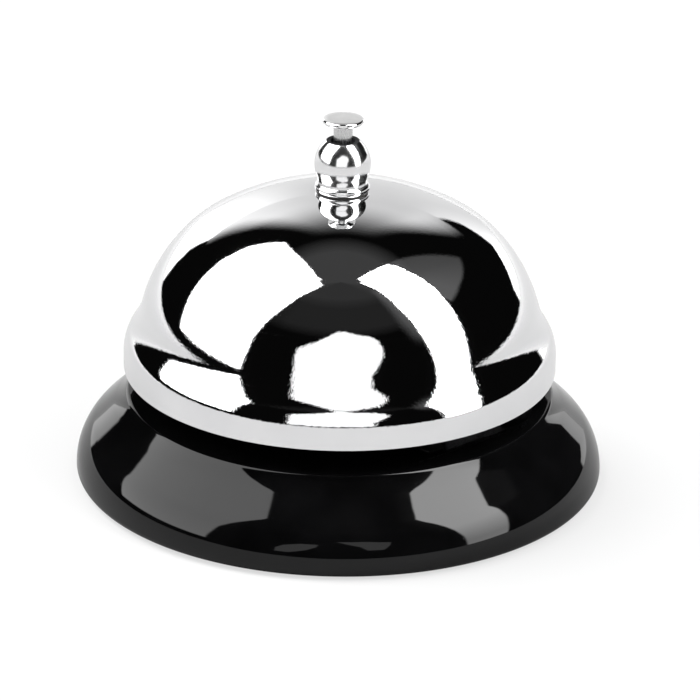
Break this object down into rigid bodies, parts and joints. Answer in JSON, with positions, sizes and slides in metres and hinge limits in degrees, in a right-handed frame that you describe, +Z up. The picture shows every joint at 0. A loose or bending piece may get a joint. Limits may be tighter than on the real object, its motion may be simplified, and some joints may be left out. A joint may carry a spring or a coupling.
{
  "type": "service bell",
  "caption": "Desk call bell: flared chrome dome on a round black enamelled foot, with a push button on top that swings a hammer inside.",
  "frame": {"origin": "centre of the underside of the foot ring, on the surface that the bell stands on", "axes": "+Z up along the bell's axis, +X towards the hammer, -Y towards the person who rings it"},
  "size_m": [0.085, 0.085, 0.0605],
  "materials": {
    "mirror_chrome": "mirror polished chrome plate",
    "button_nickel": "polished head, satin drawn stem",
    "black_enamel": "high gloss black enamel",
    "black_oxide": "oiled black oxide",
    "spring_steel": "drawn spring steel, satin",
    "brass_turned": "turned brass",
    "rubber_black": "matt black rubber",
    "black_fibre": "matt black fibre"
  },
  "bodies": {
    "base": {"base_shell": "black_enamel", "foot_ring": "rubber_black", "mechanism_bracket": "black_oxide", "bracket_rivets": "black_oxide", "center_post": "black_oxide", "post_washer": "black_oxide", "post_nut": "black_oxide", "bell_dome": "mirror_chrome", "lower_washer": "black_fibre", "seat_nut": "black_oxide", "upper_washer": "black_fibre", "finial": "mirror_chrome", "return_spring": "spring_steel", "pivot_pin": "black_oxide", "pivot_spacers": "brass_turned", "rest_pad": "rubber_black"},
    "plunger": {"push_button": "button_nickel", "retaining_clip": "spring_steel"},
    "hammer": {"rocker": "black_oxide", "hammer_arm": "spring_steel", "arm_rivets": "black_oxide", "hammer_head": "black_oxide"}
  },
  "joints": [
    {"name": "button_press", "type": "slide", "parent": "base", "child": "plunger", "axis": [0, 0, -1], "range_m": [0, 0.0025], "stiffness_N_per_m": 670, "springref_m": -0.0025, "deforming": ["return_spring"]},
    {"name": "hammer_swing", "type": "hinge", "parent": "base", "child": "hammer", "pos_m": [0.0095, 0, 0.025], "axis": [0, -1, 0], "range_deg": [0, 15]}
  ],
  "couplings": [
    {"joint": "hammer_swing", "follows": "button_press", "rad_per_m": 104}
  ]
}
